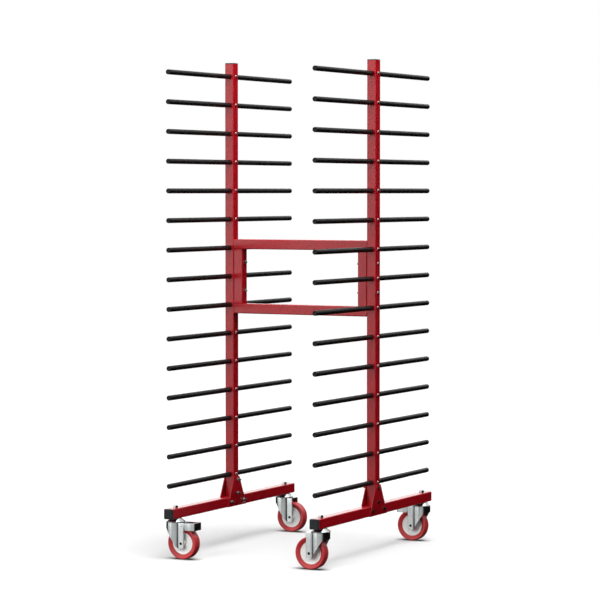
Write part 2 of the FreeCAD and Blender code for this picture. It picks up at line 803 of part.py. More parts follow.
def brake_lever_master():
    """A pressed channel behind the fork, flush with it, with two eyes on the pin between the legs."""
    arm_half = "lever_half"
    arm_inner_half = "(lever_half - lever_plate)"
    inner_half = "(fork_half - lever_plate)"
    lip_end = "lever_front + lever_plate"
    inner_top = "fork_top - lever_plate"
    eye_low = "brake_pin_height - brake_eye_radius"
    eye_high = "brake_pin_height + brake_eye_radius"
    channel = new_body("lever_channel")
    # The front edge slopes back below the pin, so that it clears the legs when the lever is pressed
    channel_corners = [
        ("lever_front", "brake_pin_height"),
        ("lever_front", "fork_top"),
        ("lever_end", "fork_top"),
        ("lever_end", "lever_bottom"),
        ("lever_front + lever_cutback", "lever_bottom"),
    ]
    pad(channel, outline(channel, "XZ_Plane", channel_corners), "2 * fork_half", True)
    arms = block("lever_arms", ("brake_pin_place", f"-{arm_half}", eye_low), (lip_end, arm_half, eye_high))
    eye_place = ("brake_pin_place", f"-{arm_half}", "brake_pin_height")
    eyes = cylinder("lever_eyes", "brake_eye_radius", f"2 * {arm_half}", eye_place, ALONG_Y)
    outside = fuse("lever_outside", [channel, arms, eyes])
    between_arms = block(
        "lever_between_arms",
        ("brake_pin_place - 2 * brake_eye_radius", f"-{arm_inner_half}", "lever_bottom"),
        (lip_end, arm_inner_half, inner_top),
    )
    inside = block(
        "lever_inside",
        (lip_end, f"-{inner_half}", "lever_bottom"),
        ("lever_end", inner_half, inner_top),
    )
    pin_radius = "brake_pin_diameter / 2 + axle_clearance"
    pin_hole = cylinder("lever_pin_hole", pin_radius, f"2 * {arm_half}", eye_place, ALONG_Y)
    return cut("brake_lever", outside, [between_arms, inside, pin_hole])


def brake_shoe_master():
    """A block inside the lever's channel, which meets the tread, with a cover over the channel's end."""
    half = "fork_half - lever_plate"
    top = "fork_top - lever_plate"
    back = "lever_end + shoe_cover"
    pad_block = block(
        "shoe_pad",
        ("lever_end - shoe_length", f"-({half})", f"{top} - shoe_height"),
        (back, half, top),
    )
    cover = block(
        "shoe_end_cover",
        ("lever_end", "-fork_half", "lever_bottom"),
        (back, "fork_half", "fork_top"),
    )
    return fuse("brake_shoe", [pad_block, cover])


swivel_head = swivel_head_master()
retaining_ring = retaining_ring_master()
caster_bolt = caster_bolt_master()
caster_nut = hex_nut("caster_nut", "caster_bolt_diameter", "caster_nut_width", "caster_nut_height")
plain_fork = fork_master("plain_fork", False)
brake_fork = fork_master("brake_fork", True)
axle = axle_master()
hub = hub_master()
tyre = tyre_master()
brake_pin = brake_pin_master()
brake_lever = brake_lever_master()
brake_shoe = brake_shoe_master()
ball = solid("Sphere", "ball", Radius="ball_diameter / 2")

# Casters: name, side along X, side along Y, and whether it has a brake. Each trails towards the middle.
CASTERS = (
    ("left_front", -1, -1, True),
    ("right_front", 1, -1, False),
    ("left_rear", -1, 1, False),
    ("right_rear", 1, 1, True),
)
WHEEL_TURN = {-1: ALONG_Z, 1: HALF_TURN}
ring_stations = []
bolt_stations = []
nut_stations = []
ball_stations = []
for name, x_side, y_side, with_brake in CASTERS:
    x = f"{x_side} * half_spacing"
    y = f"{y_side} * caster_reach"
    turn = WHEEL_TURN[x_side]
    at_floor = [((x, y, "0"), turn)]
    at_axle = [((f"{x} - {x_side} * trail", y, "wheel_radius"), turn)]
    copies(f"{name}_swivel_head", swivel_head, at_floor)
    copies(f"{name}_fork", brake_fork if with_brake else plain_fork, at_floor)
    copies(f"{name}_axle", axle, at_floor)
    copies(f"{name}_hub", hub, at_axle)
    copies(f"{name}_tyre", tyre, at_axle)
    if with_brake:
        copies(f"{name}_brake_pin", brake_pin, at_floor)
        copies(f"{name}_brake_lever", brake_lever, at_floor)
        copies(f"{name}_brake_shoe", brake_shoe, at_floor)
    ring_stations.append(((x, y, "0"), ALONG_Z))
    bolt_stations.append(((x, y, "ring_bottom"), ALONG_Z))
    nut_stations.append(((x, y, "beam_top"), ALONG_Z))
    for number in range(SIZES["balls_per_head"]):
        angle = f"{number} * 360 deg / balls_per_head"
        ball_x = f"{x} + ball_circle / 2 * cos({angle})"
        ball_y = f"{y} + ball_circle / 2 * sin({angle})"
        ball_stations.append(((ball_x, ball_y, "ball_height"), ALONG_Z))
copies("caster_retaining_rings", retaining_ring, ring_stations)
copies("caster_bolts", caster_bolt, bolt_stations)
copies("caster_nuts", caster_nut, nut_stations)
copies("caster_bearing_balls", ball, ball_stations)

doc.recompute()

# Check every object and every sub-part before anything is written
for item in doc.Objects:
    if "Invalid" in item.State or "Error" in item.State:
        raise RuntimeError(f"{item.Label} did not compute: {item.State}")
for item in NODES:
    if item.Shape.isNull() or not item.Shape.isValid() or not item.Shape.Solids:
        raise RuntimeError(f"{item.Label} has no valid shape")

os.makedirs("parts", exist_ok=True)
for item in NODES:
    item.Shape.exportStep(f"parts/{item.Label}.step")
    print(f"{item.Label}: {len(item.Shape.Solids)} solids")
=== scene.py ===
import json
import math

import bmesh
import bpy
from mathutils import Matrix, Vector


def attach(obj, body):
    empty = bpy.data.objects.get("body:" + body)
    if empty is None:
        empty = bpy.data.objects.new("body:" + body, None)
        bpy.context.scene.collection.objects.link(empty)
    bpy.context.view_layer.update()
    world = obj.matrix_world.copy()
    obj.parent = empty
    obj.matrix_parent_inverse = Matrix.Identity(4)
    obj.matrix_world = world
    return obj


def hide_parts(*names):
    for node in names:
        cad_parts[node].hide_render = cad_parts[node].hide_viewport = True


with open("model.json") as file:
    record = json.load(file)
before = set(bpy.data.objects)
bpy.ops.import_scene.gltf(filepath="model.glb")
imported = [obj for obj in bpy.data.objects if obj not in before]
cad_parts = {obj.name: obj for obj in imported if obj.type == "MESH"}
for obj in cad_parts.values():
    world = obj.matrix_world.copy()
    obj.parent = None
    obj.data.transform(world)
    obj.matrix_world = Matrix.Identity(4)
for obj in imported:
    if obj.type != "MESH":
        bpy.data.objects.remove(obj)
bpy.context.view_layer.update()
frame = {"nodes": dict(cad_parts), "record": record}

# Lengths are written in millimetres and become metres when a piece is made.
# The frame is the CAD model's: +Z up, the front towards -Y, the left post towards -X.
MM = 0.001

# Sizes shared with the CAD model
POST_X = 320
HALF_TUBE = 20
BEAM_TOP = 198.5
BEAM_END = 500
ROD_LEVELS = 15
FIRST_ROD = 287
ROD_PITCH = 115
FRAME_LEVELS = (6, 7, 8)
FRAME_BOLT_HEIGHTS = (1034.5, 1149.5)
CASTER_Y = 450
WHEEL_RADIUS = 62.5
TRAIL = 38


# Shapes
class Shape:
    """Corners and faces of a piece, in millimetres."""

    def __init__(self):
        self.corners = []
        self.faces = []

    def ring(self, points):
        start = len(self.corners)
        self.corners.extend(Vector(point) for point in points)
        return list(range(start, len(self.corners)))

    def face(self, corners):
        kept = list(dict.fromkeys(corners))
        if len(kept) > 2:
            self.faces.append(kept)

    def skin(self, rings, closed=True):
        """Faces between neighbouring rings of equal length."""
        for low, high in zip(rings, rings[1:]):
            count = len(low)
            for number in range(count if closed else count - 1):
                after = (number + 1) % count
                self.face((low[number], low[after], high[after], high[number]))

    def add(self, other, matrix=Matrix()):
        start = len(self.corners)
        self.corners.extend(matrix @ corner for corner in other.corners)
        self.faces.extend([start + corner for corner in face] for face in other.faces)
        return self


def on_circle(radius, height, count):
    points = []
    for step in range(count):
        angle = 2 * math.pi / count * step
        points.append((radius * math.cos(angle), radius * math.sin(angle), height))
    return points


def lathe(profile, count, closed=False):
    """A shape turned about Z from points of (radius, height)."""
    shape = Shape()
    rings = []
    for radius, height in profile:
        if radius < 0.001:
            rings.append(shape.ring([(0, 0, height)]) * count)
        else:
            rings.append(shape.ring(on_circle(radius, height, count)))
    if closed:
        rings.append(rings[0])
    shape.skin(rings)
    return shape


def soften(corners, radii, steps=4, closed=False):
    """A line in a plane with its corners rounded to the given radii."""
    count = len(corners)
    points = []
    for number, radius in enumerate(radii):
        corner = Vector(corners[number])
        loose_end = not closed and number in (0, count - 1)
        if radius == 0 or loose_end:
            points.append(corner)
            continue
        back = (Vector(corners[number - 1]) - corner).normalized()
        ahead = (Vector(corners[(number + 1) % count]) - corner).normalized()
        half_angle = back.angle(ahead) / 2
        centre = corner + (back + ahead).normalized() * radius / math.sin(half_angle)
        first = corner + back * radius / math.tan(half_angle) - centre
        last = corner + ahead * radius / math.tan(half_angle) - centre
        for step in range(steps + 1):
            points.append(centre + first.lerp(last, step / steps).normalized() * radius)
    return points


def square_ring(half, corner, height, steps=5):
    """A square with rounded corners, at a height."""
    outline = [(half, half), (-half, half), (-half, -half), (half, -half)]
    return [(point.x, point.y, height) for point in soften(outline, [corner] * 4, steps, True)]


def as_bmesh(shape, scale=1):
    """A shape as a mesh that can be worked on, with its faces turned outwards."""
    bm = bmesh.new()
    corners = [bm.verts.new(corner * scale) for corner in shape.corners]
    for face in shape.faces:
        bm.faces.new([corners[number] for number in face])
    bmesh.ops.recalc_face_normals(bm, faces=bm.faces)
    return bm


def softened(shape, edge, least_angle=25):
    """The shape with its sharp edges rounded."""
    bm = as_bmesh(shape)
    least = math.radians(least_angle)
    sharp = [e for e in bm.edges if e.is_manifold and e.calc_face_angle() > least]
    bmesh.ops.bevel(
        bm,
        geom=sharp,
        offset=edge,
        segments=2,
        profile=0.5,
        affect="EDGES",
        clamp_overlap=True,
    )
    result = Shape()
    bm.verts.index_update()
    result.corners = [v.co.copy() for v in bm.verts]
    result.faces = [[v.index for v in face.verts] for face in bm.faces]
    bm.free()
    return result


def plate(outline, thickness):
    """A flat plate on XY from its outline."""
    shape = Shape()
    low = shape.ring([(x, y, 0) for x, y in outline])
    high = shape.ring([(x, y, thickness) for x, y in outline])
    shape.skin([low, high])
    shape.face(low)
    shape.face(high)
    return shape


def move(x, y, z):
    return Matrix.Translation((x, y, z))


def turn(axis, degrees):
    return Matrix.Rotation(math.radians(degrees), 4, axis)


FACING_X = turn("Y", 90)
FACING_MINUS_X = turn("Y", -90)
FACING_Y = turn("X", -90)
FACING_MINUS_Y = turn("X", 90)


# Materials
NOISE_LEAST = 0.3
NOISE_MOST = 0.7


def between(tree, source, low, high, least=0, most=1):
    """A source's range from least to most, mapped to run from low to high."""
    made = tree.nodes.new("ShaderNodeMapRange")
    tree.links.new(source, made.inputs["Value"])
    made.inputs["From Min"].default_value = least
    made.inputs["From Max"].default_value = most
    made.inputs["To Min"].default_value = low
    made.inputs["To Max"].default_value = high
    return made.outputs["Result"]


class Look:
    """A material with a principled shader and a few procedural patterns, in object space."""

    def __init__(self, name, **values):
        self.material = bpy.data.materials.new(name)
        self.material.use_nodes = True
        self.tree = self.material.node_tree
        self.shader = self.tree.nodes["Principled BSDF"]
        self.place = self.tree.nodes.new("ShaderNodeTexCoord").outputs["Object"]
        for socket, value in values.items():
            self.shader.inputs[socket.replace("_", " ")].default_value = value

    def node(self, kind, **inputs):
        made = self.tree.nodes.new(kind)
        for socket, value in inputs.items():
            if isinstance(value, bpy.types.NodeSocket):
                self.tree.links.new(value, made.inputs[socket])
            else:
                made.inputs[socket].default_value = value
        return made

    def stretched(self, x, y, z):
        return self.node("ShaderNodeMapping", Vector=self.place, Scale=(x, y, z)).outputs["Vector"]

    def noise(self, scale, detail=3, place=None):
        made = self.node("ShaderNodeTexNoise", Vector=place or self.place, Scale=scale, Detail=detail)
        return made.outputs["Fac"]

    def spread(self, noise, low, high):
        """The middle range of a noise stretched to run from low to high."""
        return between(self.tree, noise, low, high, NOISE_LEAST, NOISE_MOST)

    def colours(self, source, first, second):
        made = self.tree.nodes.new("ShaderNodeMix")
        made.data_type = "RGBA"
        self.tree.links.new(source, made.inputs["Factor"])
        colour_inputs = [socket for socket in made.inputs if socket.type == "RGBA"]
        colour_inputs[0].default_value = (*first, 1)
        colour_inputs[1].default_value = (*second, 1)
        return next(socket for socket in made.outputs if socket.type == "RGBA")

    def drive(self, socket, source):
        self.tree.links.new(source, self.shader.inputs[socket])

    def bumps(self, height, strength, depth):
        made = self.node("ShaderNodeBump", Height=height, Strength=strength, Distance=depth * MM)
        self.drive("Normal", made.outputs["Normal"])


def powder_coat():
    """Glossy red powder coat with a fine orange peel."""
    look = Look("red_powder_coat")
    tone = look.spread(look.noise(6, 4), 0, 1)
    look.drive("Base Color", look.colours(tone, (0.30, 0.0015, 0.006), (0.33, 0.002, 0.008)))
    look.drive("Roughness", look.spread(look.noise(40, 3), 0.20, 0.25))
    look.bumps(look.noise(420, 2), 0.04, 0.03)
    return look.material


def black_sleeve():
    """Soft black plastic, drawn lengthwise."""
    look = Look("black_sleeve", Specular_IOR_Level=0.2)
    along = look.stretched(1, 0.02, 1)
    tone = look.spread(look.noise(300, 2, along), 0, 1)
    look.drive("Base Color", look.colours(tone, (0.004, 0.004, 0.004), (0.008, 0.008, 0.008)))
    look.drive("Roughness", look.spread(look.noise(90, 3), 0.36, 0.48))
    look.bumps(look.noise(700, 2), 0.15, 0.05)
    return look.material


def zinc(name, colour, rough, grain):
    """Zinc-plated steel with a mottled finish."""
    look = Look(name, Metallic=1.0)
    tone = look.spread(look.noise(grain, 4), 0, 1)
    darker = tuple(0.95 * part for part in colour)
    look.drive("Base Color", look.colours(tone, darker, colour))
    look.drive("Roughness", look.spread(look.noise(grain * 3, 3), rough - 0.02, rough + 0.03))
    look.bumps(look.noise(grain * 12, 2), 0.03, 0.02)
    return look.material


def plastic(name, first, second, rough, grain, depth, specular=0.5):
    """Moulded plastic with a fine grain."""
    look = Look(name, Specular_IOR_Level=specular)
    tone = look.spread(look.noise(25, 3), 0, 1)
    look.drive("Base Color", look.colours(tone, first, second))
    look.drive("Roughness", look.spread(look.noise(60, 3), rough - 0.04, rough + 0.05))
    look.bumps(look.noise(grain, 2), 0.2, depth)
    return look.material


RED = powder_coat()
SLEEVE = black_sleeve()
PLATE = zinc("zinc_plate", (0.62, 0.65, 0.65), 0.22, 60)
FASTENER = zinc("zinc_fastener", (0.66, 0.66, 0.64), 0.20, 120)
BLACKENED = zinc("black_fastener", (0.13, 0.125, 0.12), 0.28, 120)
BRIGHT = zinc("bright_steel", (0.62, 0.62, 0.62), 0.18, 90)
HUB = plastic("white_hub", (0.85, 0.85, 0.83), (0.90, 0.90, 0.88), 0.38, 500, 0.03)
TYRE = plastic("red_tyre", (0.46, 0.026, 0.030), (0.53, 0.032, 0.036), 0.34, 350, 0.04)
CAP = plastic("dark_grey_plastic", (0.010, 0.014, 0.015), (0.016, 0.020, 0.021), 0.45, 900, 0.06, 0.22)
SHOE = plastic("black_shoe", (0.003, 0.003, 0.003), (0.006, 0.006, 0.006), 0.5, 600, 0.1, 0.2)

SLOT_LOOKS = {
    "red_powder_coat": RED,
    "black_sleeve": SLEEVE,
    "zinc_plate": PLATE,
    "zinc_fastener": FASTENER,
    "black_fastener": BLACKENED,
    "bright_steel": BRIGHT,
    "rod_steel": BRIGHT,
    "white_hub": HUB,
    "red_tyre": TYRE,
    "dark_grey_plastic": CAP,
    "black_shoe": SHOE,
}

# Every CAD node that stays in view gets the look of its slot
for part in frame["record"]["subparts"]:
    mesh = frame["nodes"][part["node"]].data
    mesh.materials.clear()
    mesh.materials.append(SLOT_LOOKS[part["material_slot"]])


# Pieces
SMOOTH_UP_TO = math.radians(32)


def piece(name, shape, slot, body, *replaced):
    """An object from a shape, with the look of a slot, that rides on a body and stands for CAD nodes."""
    bm = as_bmesh(shape, MM)
    mesh = bpy.data.meshes.new(name)
    bm.to_mesh(mesh)
    bm.free()
    mesh.shade_smooth()
    mesh.set_sharp_from_angle(angle=SMOOTH_UP_TO)
    mesh.materials.append(SLOT_LOOKS[slot])
    made = bpy.data.objects.new(name, mesh)
    bpy.context.scene.collection.objects.link(made)
    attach(made, body)
    if replaced:
        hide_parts(*replaced)
    return made


# Sleeves on the rods
SLEEVE_RADIUS = 10
SLEEVE_BORE = 8.1
SLEEVE_FOOT = HALF_TUBE + 0.1
SLEEVE_TIP = 502
DISH_MIDDLE = SLEEVE_TIP - 1.2
DISH_EDGE = SLEEVE_TIP - 0.9
ROD_END = 500


def sleeve():
    """A sleeve along Z from the post's face to a closed end with a shallow dish."""
    outside = [
        (0, DISH_MIDDLE),
        (5.6, DISH_EDGE),
        (7.2, SLEEVE_TIP),
        (SLEEVE_RADIUS, SLEEVE_TIP),
        (SLEEVE_RADIUS, SLEEVE_FOOT),
        (SLEEVE_BORE, SLEEVE_FOOT),
        (SLEEVE_BORE, ROD_END),
        (0, ROD_END),
    ]
    return lathe(soften(outside, [0, 2, 0.8, 2.5, 0.6, 0.3, 0, 0], 4), 40)


for side, x in (("left", -POST_X), ("right", POST_X)):
    for end, facing in (("front", FACING_MINUS_Y), ("rear", FACING_Y)):
        row = Shape()
        for level in range(ROD_LEVELS):
            row.add(sleeve(), move(x, 0, FIRST_ROD + level * ROD_PITCH) @ facing)
        piece(f"{side}_{end}_rod_covers", row, "black_sleeve", "frame", f"{side}_{end}_sleeves")


# Fasteners, each along its own Z axis with its seat at zero and its head or nut above it
M8, M8_PITCH, M8_HEX, M8_NUT = 8, 1.25, 13, 6.5
M12, M12_PITCH, M12_HEX, M12_NUT = 12, 1.75, 19, 10
HEX_STEPS = 48
DOME_STEPS = 8
COLLAR_STEPS = 6
THREAD_SIDES = 24
THREAD_STEPS = 6
RECESS_DEEP = 0.25
NUT_LEAD = 0.6
CHAMFER_SLOPE = math.tan(math.radians(30))
# A thread's depth as a share of its pitch
THREAD_DEPTH = 0.6
# Radii as shares of a hexagon's width
CROWN = 0.475
COLLAR = 0.45
RECESS_EDGE = 0.36
RECESS_FLOOR = 0.33


def hex_points(width, height, chamfer):
    """A hexagon whose corners drop away from a height by a conical chamfer."""
    points = []
    for step in range(HEX_STEPS):
        angle = 2 * math.pi * step / HEX_STEPS
        from_flat = angle % (math.pi / 3) - math.pi / 6
        radius = width / 2 / math.cos(from_flat)
        drop = chamfer * max(0, radius - CROWN * width) * CHAMFER_SLOPE
        points.append((radius * math.cos(angle), radius * math.sin(angle), height - drop))
    return points


def hex_head(width, height):
    """A hexagon head with a shallow round recess."""
    shape = Shape()
    rings = [
        shape.ring([(0, 0, 0)]) * HEX_STEPS,
        shape.ring(on_circle(CROWN * width, 0, HEX_STEPS)),
        shape.ring(hex_points(width, 0, -0.4)),
        shape.ring(hex_points(width, height, 1)),
        shape.ring(on_circle(CROWN * width, height, HEX_STEPS)),
        shape.ring(on_circle(RECESS_EDGE * width, height, HEX_STEPS)),
        shape.ring(on_circle(RECESS_FLOOR * width, height - RECESS_DEEP, HEX_STEPS)),
        shape.ring([(0, 0, height - RECESS_DEEP)]) * HEX_STEPS,
    ]
    shape.skin(rings)
    return shape


def button_head(diameter, height, socket, socket_depth):
    """A domed head, which is the end of a sphere, with a hexagon socket."""
    sphere = height / 2 + diameter ** 2 / (8 * height)
    rim = socket / math.sqrt(3) + 0.3
    shape = Shape()
    rings = [shape.ring([(0, 0, 0)]) * HEX_STEPS]
    for step in range(DOME_STEPS + 1):
        radius = diameter / 2 + (rim - diameter / 2) * step / DOME_STEPS
        level = math.sqrt(sphere ** 2 - radius ** 2) - sphere + height
        rings.append(shape.ring(on_circle(radius, level, HEX_STEPS)))
    rings.append(shape.ring(hex_points(socket, level, 0)))
    rings.append(shape.ring(hex_points(socket, level - socket_depth, 0)))
    rings.append(shape.ring([(0, 0, level - socket_depth)]) * HEX_STEPS)
    shape.skin(rings)
    return shape


def nut(diameter, width, height, collar=0):
    """A hexagon nut, whose top may be a round locking collar."""
    hex_top = height - collar
    bore = diameter / 2
    mouth = bore + NUT_LEAD
    shape = Shape()
    rings = [
        shape.ring(on_circle(bore, NUT_LEAD, HEX_STEPS)),
        shape.ring(on_circle(mouth, 0, HEX_STEPS)),
        shape.ring(on_circle(CROWN * width, 0, HEX_STEPS)),
        shape.ring(hex_points(width, 0, -1)),
        shape.ring(hex_points(width, hex_top, 1)),
        shape.ring(on_circle(CROWN * width, hex_top, HEX_STEPS)),
    ]
    if collar:
        for step in range(COLLAR_STEPS):
            angle = step * math.pi / 2 / COLLAR_STEPS
            radius = mouth + (COLLAR * width - mouth) * math.cos(angle)
            level = hex_top + collar * math.sin(angle)
            rings.append(shape.ring(on_circle(radius, level, HEX_STEPS)))
    rings.append(shape.ring(on_circle(mouth, height, HEX_STEPS)))
    rings.append(shape.ring(on_circle(bore, height - NUT_LEAD, HEX_STEPS)))
    rings.append(rings[0])
    shape.skin(rings)
    return shape


def threaded_end(diameter, pitch, low, high):
    """A screw thread between two heights, with a tapered tip."""
    depth = THREAD_DEPTH * pitch
    steps = math.ceil((high - low) / pitch * THREAD_STEPS)
    shape = Shape()
    rings = [shape.ring([(0, 0, low)]) * THREAD_SIDES]
    for step in range(steps + 1):
        height = low + (high - low) * step / steps
        taper = max(0, 1 - (high - height) / pitch) * depth
        points = []
        for number in range(THREAD_SIDES):
            wave = (height / pitch - number / THREAD_SIDES) % 1
            radius = diameter / 2 - max(depth * abs(2 * wave - 1), taper)
            angle = 2 * math.pi * number / THREAD_SIDES
            points.append((radius * math.cos(angle), radius * math.sin(angle), height))
        rings.append(shape.ring(points))
    rings.append(shape.ring([(0, 0, high)]) * THREAD_SIDES)
    shape.skin(rings)
    return shape


def bolt(head, diameter, pitch, length, threaded):
    """A bolt with its head above the seat, its shank below, and a thread at the shank's end."""
    plain = length - threaded
    shank = [(0, 0), (diameter / 2, 0), (diameter / 2, -plain), (0, -plain)]
    shape = Shape().add(head).add(lathe(shank, THREAD_SIDES))
    if threaded:
        shape.add(threaded_end(diameter, pitch, plain, length), turn("X", 180))
    return shape


FLAT_UP = 30
SCREW_LENGTH = 12
screw_head = button_head(diameter=14, height=4.4, socket=5, socket_depth=2.6)
clamp_screw = bolt(screw_head, M8, M8_PITCH, SCREW_LENGTH, 0)
screws = Shape()
for level in range(ROD_LEVELS):
    height = FIRST_ROD + level * ROD_PITCH
    # Each socket stands at a different angle
    spin = turn("Z", 30 * math.sin(2.3 * level))
    screws.add(clamp_screw, move(POST_X + HALF_TUBE, 0, height) @ FACING_X @ spin)
    if level in FRAME_LEVELS:
        screws.add(clamp_screw, move(-POST_X - HALF_TUBE, 0, height) @ FACING_MINUS_X @ spin)
    else:
        screws.add(clamp_screw, move(-POST_X + HALF_TUBE, 0, height) @ FACING_X @ spin)
piece("clamp_screw_set", screws, "zinc_fastener", "frame", "rod_clamp_screws")

FRAME_GRIP = 80
FRAME_THREAD = 10.5
frame_bolt = bolt(screw_head, M8, M8_PITCH, FRAME_GRIP + FRAME_THREAD, FRAME_THREAD)
frame_nut = nut(M8, M8_HEX, M8_NUT)
OUTER_SIDES = ((-1, FACING_MINUS_X, FACING_X), (1, FACING_X, FACING_MINUS_X))
bolts = Shape()
nuts = Shape()
for side, outwards, inwards in OUTER_SIDES:
    for height in FRAME_BOLT_HEIGHTS:
        spin = turn("Z", FLAT_UP + height % 9)
        bolts.add(frame_bolt, move(side * (POST_X + HALF_TUBE), 0, height) @ outwards @ spin)
        nuts.add(frame_nut, move(side * (POST_X + HALF_TUBE - FRAME_GRIP), 0, height) @ inwards @ spin)
piece("frame_bolt_set", bolts, "zinc_fastener", "frame", "frame_bolts")
piece("frame_nut_set", nuts, "zinc_fastener", "frame", "frame_nuts")

GUSSET_PLATE = 4
GUSSET_SEAT = HALF_TUBE + GUSSET_PLATE
GUSSET_THREAD = 17.5
GUSSET_HEAD = hex_head(M8_HEX, 5.3)
gusset_bolt = bolt(GUSSET_HEAD, M8, M8_PITCH, 2 * GUSSET_SEAT + GUSSET_THREAD, GUSSET_THREAD)
gusset_nut = nut(M8, M8_HEX, M8_NUT, collar=2.2)
GUSSET_BOLT_PLACES = ((0, 265), (0, 210), (-50, 178.5), (50, 178.5))
bolts = Shape()
nuts = Shape()
for side, outwards, inwards in OUTER_SIDES:
    for number, (y, height) in enumerate(GUSSET_BOLT_PLACES):
        spin = turn("Z", FLAT_UP + number)
        bolts.add(gusset_bolt, move(side * (POST_X + GUSSET_SEAT), y, height) @ outwards @ spin)
        nuts.add(gusset_nut, move(side * (POST_X - GUSSET_SEAT), y, height) @ inwards @ spin)
piece("gusset_bolt_set", bolts, "black_fastener", "frame", "gusset_bolts")
piece("gusset_nut_set", nuts, "zinc_fastener", "frame", "gusset_nuts")

# Gusset plates
GUSSET_OUTLINE = ((-77.5, 158.5), (77.5, 158.5), (20, 278), (-20, 278))
GUSSET_CORNER = 2.5
GUSSET_EDGE = 0.7
gusset_line = soften(GUSSET_OUTLINE, [GUSSET_CORNER] * 4, closed=True)
gusset = softened(plate(gusset_line, GUSSET_PLATE), GUSSET_EDGE)
# Turns a plate drawn on XY to stand on YZ, with its thickness towards +X
STANDING = Matrix(((0, 0, 1, 0), (1, 0, 0, 0), (0, 1, 0, 0), (0, 0, 0, 1)))
GUSSET_FACES = {
    "left_outer_gusset": -POST_X - GUSSET_SEAT,
    "left_inner_gusset": -POST_X + HALF_TUBE,
    "right_inner_gusset": POST_X - GUSSET_SEAT,
    "right_outer_gusset": POST_X + HALF_TUBE,
}
for node, x in GUSSET_FACES.items():
    standing_plate = Shape().add(gusset, move(x, 0, 0) @ STANDING)
    piece(f"{node}_plate", standing_plate, "red_powder_coat", "frame", node)


# Tube caps
TUBE_CORNER = 4
PLUG = (16.2, 1.5)
PLUG_RIB = (16.9, 1.8)
PLUG_RIBS = (-14, -8)
RIB_HALF = 1.5
CAP_EDGE = 1.5
CAP_CROWN = 0.3


def tube_cap(flange):
    """A cap with a softly crowned face, on a plug with two sealing ribs.

    Each level has a square's half width, its corner radius and its height.
    """
    side = (HALF_TUBE, TUBE_CORNER)
    edge = flange - CAP_EDGE - CAP_CROWN
    levels = [(16.4, 1.5, -20), (*PLUG_RIB, -18)]
    for rib in PLUG_RIBS:
        levels += [(*PLUG, rib - RIB_HALF), (*PLUG_RIB, rib), (*PLUG, rib + RIB_HALF)]
    levels += [(*PLUG, 0), (*side, 0), (*side, edge)]
    for step in (1, 2, 3, 4):
        angle = math.pi / 8 * step
        inset = CAP_EDGE * (1 - math.cos(angle))
        levels.append((HALF_TUBE - inset, TUBE_CORNER - inset * 0.6, edge + CAP_EDGE * math.sin(angle)))
    levels += [(15, 2.5, flange - 0.12), (9, 1.5, flange)]
    shape = Shape()
    rings = [shape.ring(square_ring(half, corner, height)) for half, corner, height in levels]
    shape.face(rings[0])
    shape.face(rings[-1])
    shape.skin(rings)
    return shape


beam_cap = tube_cap(6)
post_cap = tube_cap(4)
BEAM_MIDDLE = BEAM_TOP - HALF_TUBE
POST_TOP = 1948.5
for side, x in (("left", -POST_X), ("right", POST_X)):
    top = Shape().add(post_cap, move(x, 0, POST_TOP))
    piece(f"{side}_post_plug", top, "dark_grey_plastic", "frame", f"{side}_post_cap")
    for end, y, facing in (("front", -BEAM_END, FACING_MINUS_Y), ("rear", BEAM_END, FACING_Y)):
        plug = Shape().add(beam_cap, move(x, y, BEAM_MIDDLE) @ facing)
        piece(f"{side}_{end}_beam_plug", plug, "dark_grey_plastic", "frame", f"{side}_{end}_beam_cap")

# Casters, each drawn with its swivel axis on Z, the floor at zero and the wheel trailing towards +X.
# In their plan u runs along X and v along Y.
FORK_TOP = 144
FORK_HALF = 25.5
FORK_PLATE = 3
BELL_RADIUS = 36.5
CREASE_RADIUS = 0.6
CREASE_DEEP = 0.3
CREASE_SLOPE = 0.4
CROWN_RADIUS = 1.4
CROWN_INSIDE = 0.4
LEG_BEND = 3.2
LEG_BACK = 51.5
LEG_BOTTOM = 43
LEG_ROUND = 8
SLANT_FOOT = 24.7
SLANT_TOP = (-24, 118)
KINGPIN_HOLE = 12.1
FLANGE_DEEP = 20
FLANGE_TOP = 112
FLANGE_BEND = 1.4
QUARTER_STEPS = 6
BELL_STEPS = 24


def fork_plan():
    """Points and outward normals of half of the fork's outside, from a leg's rear edge to the front."""
    crease = Vector((0, FORK_HALF - CREASE_DEEP + CREASE_RADIUS))
    crease.x = math.sqrt((BELL_RADIUS + CREASE_RADIUS) ** 2 - crease.y ** 2)
    bend = Vector((LEG_BACK - LEG_BEND, FORK_HALF - LEG_BEND))
    plan = []
    for step in range(QUARTER_STEPS + 1):
        angle = step * math.pi / 2 / QUARTER_STEPS
        outward = Vector((math.cos(angle), math.sin(angle)))
        plan.append((bend + LEG_BEND * outward, outward))
    corner_end = LEG_BACK - LEG_ROUND
    flat_places = [bend.x + (corner_end - bend.x) * step / 4 for step in range(1, 5)]
    flat_end = crease.x + CREASE_SLOPE
    flat_places += [corner_end + (flat_end - corner_end) * step / 3 for step in range(1, 4)]
    for u in flat_places:
        plan.append((Vector((u, FORK_HALF)), Vector((0, 1))))
    for step in range(1, 5):
        part = step / 5
        depth = CREASE_DEEP * (3 * part ** 2 - 2 * part ** 3)
        plan.append((Vector((flat_end - CREASE_SLOPE * part, FORK_HALF - depth)), Vector((0, 1))))
    bell_start = crease.normalized()
    crease_turn = Vector((0, -1)).angle(-bell_start)
    for step in range(6):
        away = Vector((0, -1))
        away.rotate(Matrix.Rotation(-crease_turn * step / 5, 2))
        plan.append((crease + CREASE_RADIUS * away, -away))
    start_angle = math.atan2(bell_start.y, bell_start.x)
    for step in range(1, BELL_STEPS + 1):
        angle = start_angle + (math.pi - start_angle) * step / BELL_STEPS
        outward = Vector((math.cos(angle), math.sin(angle)))
        plan.append((BELL_RADIUS * outward, outward))
    return plan


